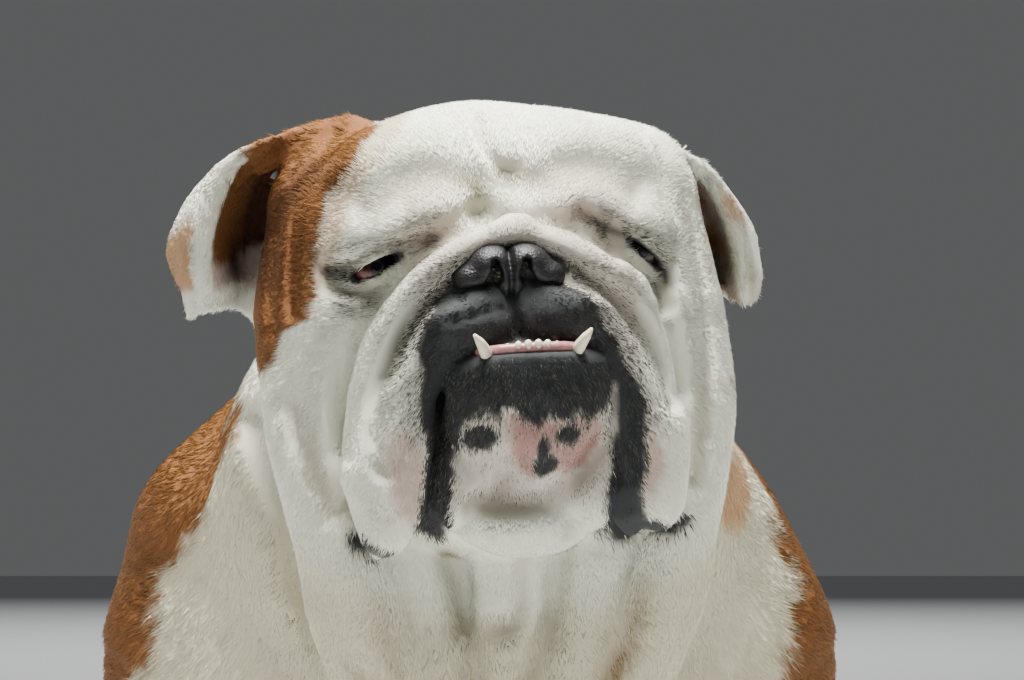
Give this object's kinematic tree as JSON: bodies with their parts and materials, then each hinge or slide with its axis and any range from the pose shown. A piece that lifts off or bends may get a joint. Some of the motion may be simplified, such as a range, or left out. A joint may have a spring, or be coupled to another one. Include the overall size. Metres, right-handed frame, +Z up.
{
  "type": "english bulldog",
  "caption": "Life-size standing English bulldog, white with brown patches: broad wrinkled head, hanging flews, undershot jaw with the lower tusks showing, rose ears, stout legs.",
  "frame": {"origin": "on the floor, under the middle of the dog's bounding box", "axes": "+X to the dog's left, +Y to its tail, +Z up; the dog looks along -Y"},
  "size_m": [0.3466, 0.5958, 0.4818],
  "materials": {
    "coat": "short flat fur, white with brown patches",
    "chin": "thin dark fur over pink and black skin; the gum and the cream teeth grow from it",
    "nose": "moist black leather",
    "eye": "wet and clear"
  },
  "bodies": {
    "root": {"head": "coat", "ear_left": "coat", "ear_right": "coat", "neck": "coat", "torso": "coat", "tail": "coat", "foreleg_left": "coat", "foreleg_right": "coat", "forepaw_left": "coat", "forepaw_right": "coat", "thigh_left": "coat", "thigh_right": "coat", "hind_leg_left": "coat", "hind_leg_right": "coat", "hind_paw_left": "coat", "hind_paw_right": "coat", "lower_jaw": "chin", "nose": "nose", "eye_left": "eye", "eye_right": "eye"}
  },
  "joints": []
}
